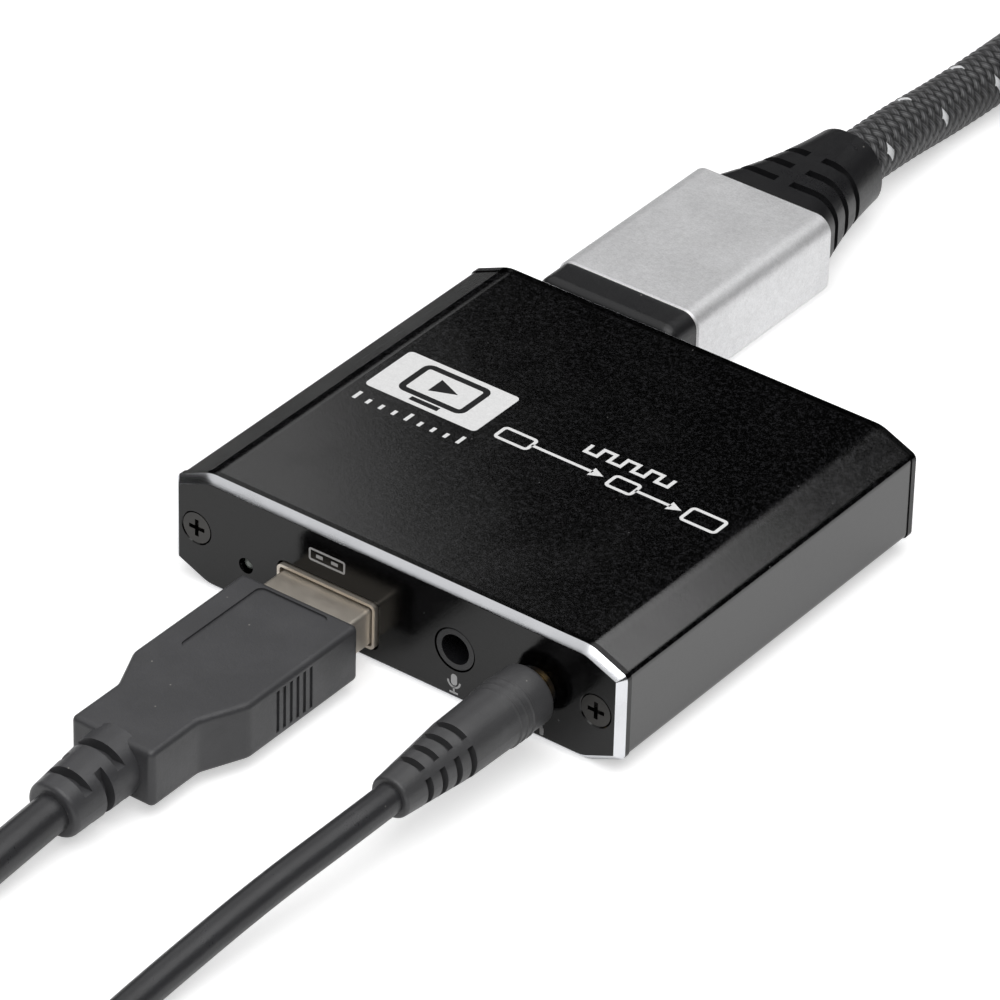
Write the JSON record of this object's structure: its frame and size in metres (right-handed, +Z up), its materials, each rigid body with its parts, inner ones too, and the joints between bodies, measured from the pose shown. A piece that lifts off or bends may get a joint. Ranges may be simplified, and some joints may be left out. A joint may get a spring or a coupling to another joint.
{
  "type": "video capture box",
  "caption": "Flat black box with bevelled end plates that takes a digital video signal and sends it on by USB, with its USB, headphone and video leads plugged in.",
  "frame": {"origin": "under the middle of the box, on the surface it stands on", "axes": "+X to the right along the front plate, +Y from the front plate to the rear plate, +Z up"},
  "size_m": [0.0601, 0.5075, 0.0145],
  "materials": {
    "black_anodised": "bead blasted and anodised black",
    "black_plate": "anodised black with a polished bevel",
    "black_steel": "black plated",
    "bright_steel": "nickel plated",
    "board": "solder mask",
    "white_plastic": "moulded",
    "black_plastic": "moulded",
    "gold_contacts": "gold plated",
    "chip_plastic": "moulded epoxy",
    "choke": "ferrite",
    "can_aluminium": "satin",
    "small_parts": "ceramic",
    "light_lens": "clear epoxy",
    "grey_moulding": "soft moulded jacket",
    "cord_jacket": "satin jacket",
    "black_moulding": "moulded",
    "silver_aluminium": "bead blasted",
    "braid": "braided yarn"
  },
  "bodies": {
    "box": {"sleeve": "black_anodised", "front_plate": "black_plate", "rear_plate": "black_plate", "front_screws": "black_steel", "rear_screws": "black_steel", "circuit_board": "board", "usb_socket_shell": "bright_steel", "usb_socket_insulator": "white_plastic", "usb_socket_contacts": "gold_contacts", "microphone_socket": "black_plastic", "microphone_socket_pins": "bright_steel", "headphone_socket": "black_plastic", "headphone_socket_pins": "bright_steel", "video_in_shell": "bright_steel", "video_in_insulator": "black_plastic", "video_in_contacts": "gold_contacts", "video_out_shell": "bright_steel", "video_out_insulator": "black_plastic", "video_out_contacts": "gold_contacts", "capture_chip": "chip_plastic", "splitter_chip": "chip_plastic", "memory_chip": "chip_plastic", "sound_chip": "chip_plastic", "crystals": "bright_steel", "power_chokes": "choke", "round_capacitors": "can_aluminium", "small_components": "small_parts", "status_light": "light_lens"},
    "usb_lead": {"usb_plug_shell": "bright_steel", "usb_plug_insulator": "white_plastic", "usb_plug_contacts": "gold_contacts", "usb_plug_overmould": "grey_moulding", "usb_cord": "cord_jacket", "usb_coil": "cord_jacket", "usb_tail": "cord_jacket", "usb_far_shell": "bright_steel", "usb_far_insulator": "white_plastic", "usb_far_overmould": "grey_moulding"},
    "audio_lead": {"audio_plug_contacts": "gold_contacts", "audio_plug_bands": "black_plastic", "audio_plug_barrel": "grey_moulding", "audio_cord": "cord_jacket", "audio_coil": "cord_jacket", "audio_tail": "cord_jacket", "audio_far_contacts": "gold_contacts", "audio_far_bands": "black_plastic", "audio_far_barrel": "grey_moulding"},
    "video_lead": {"video_plug_shell": "bright_steel", "video_plug_insulator": "black_plastic", "video_plug_collar": "black_moulding", "video_plug_cover": "silver_aluminium", "video_plug_boot": "black_moulding", "video_cord": "braid", "video_coil": "braid", "video_tail": "braid", "video_far_shell": "bright_steel", "video_far_insulator": "black_plastic", "video_far_collar": "black_moulding", "video_far_cover": "silver_aluminium", "video_far_boot": "black_moulding"}
  },
  "joints": [
    {"name": "usb_plug_slide", "type": "slide", "parent": "box", "child": "usb_lead", "axis": [0, -1, 0], "range_m": [0, 0.012]},
    {"name": "headphone_plug_slide", "type": "slide", "parent": "box", "child": "audio_lead", "axis": [0, -1, 0], "range_m": [0, 0.015]},
    {"name": "video_plug_slide", "type": "slide", "parent": "box", "child": "video_lead", "axis": [0, 1, 0], "range_m": [0, 0.012]}
  ]
}
